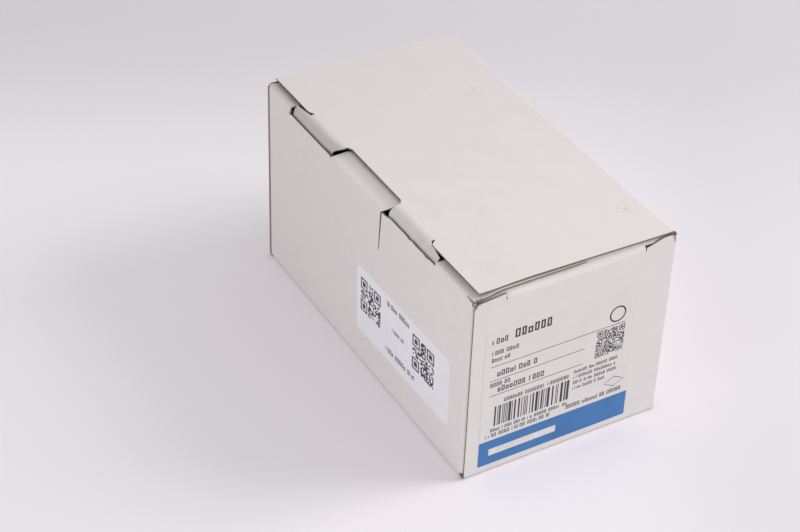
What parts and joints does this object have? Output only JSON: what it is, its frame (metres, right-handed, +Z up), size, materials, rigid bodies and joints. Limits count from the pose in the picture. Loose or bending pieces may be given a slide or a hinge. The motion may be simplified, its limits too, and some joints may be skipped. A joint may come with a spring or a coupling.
{
  "type": "folding board product carton",
  "caption": "White folded-board product carton: rear-hinged lid with barbed lock tabs in front slits, tuck flap at each end, end label and side sticker.",
  "frame": {"origin": "under the middle of the closed carton, on the surface that it stands on", "axes": "+X along the length to the labelled end, +Y from the front wall with the lock slits to the rear wall that carries the lid, +Z up"},
  "size_m": [0.1216, 0.0661, 0.0658],
  "materials": {
    "board": "matt white-lined solid board with a brown-grey core at cut and worn edges",
    "label_paper": "smooth white self-adhesive paper with dark and blue print",
    "sticker_paper": "smooth cool white self-adhesive paper with dark print"
  },
  "bodies": {
    "carton": {"carton_body": "board", "side_label": "sticker_paper"},
    "lid": {"lid": "board"},
    "label_end": {"label_end_flap": "board", "end_label": "label_paper"},
    "far_end": {"far_end_flap": "board"}
  },
  "joints": [
    {"name": "lid_hinge", "type": "hinge", "parent": "carton", "child": "lid", "pos_m": [0, 0.033, 0.0637], "axis": [-1, 0, 0], "range_deg": [0, 178]},
    {"name": "label_end_hinge", "type": "hinge", "parent": "carton", "child": "label_end", "pos_m": [0.06075, 0, 0.0013], "axis": [0, 1, 0], "range_deg": [0, 90]},
    {"name": "far_end_hinge", "type": "hinge", "parent": "carton", "child": "far_end", "pos_m": [-0.06075, 0, 0.0013], "axis": [0, -1, 0], "range_deg": [0, 90]}
  ]
}
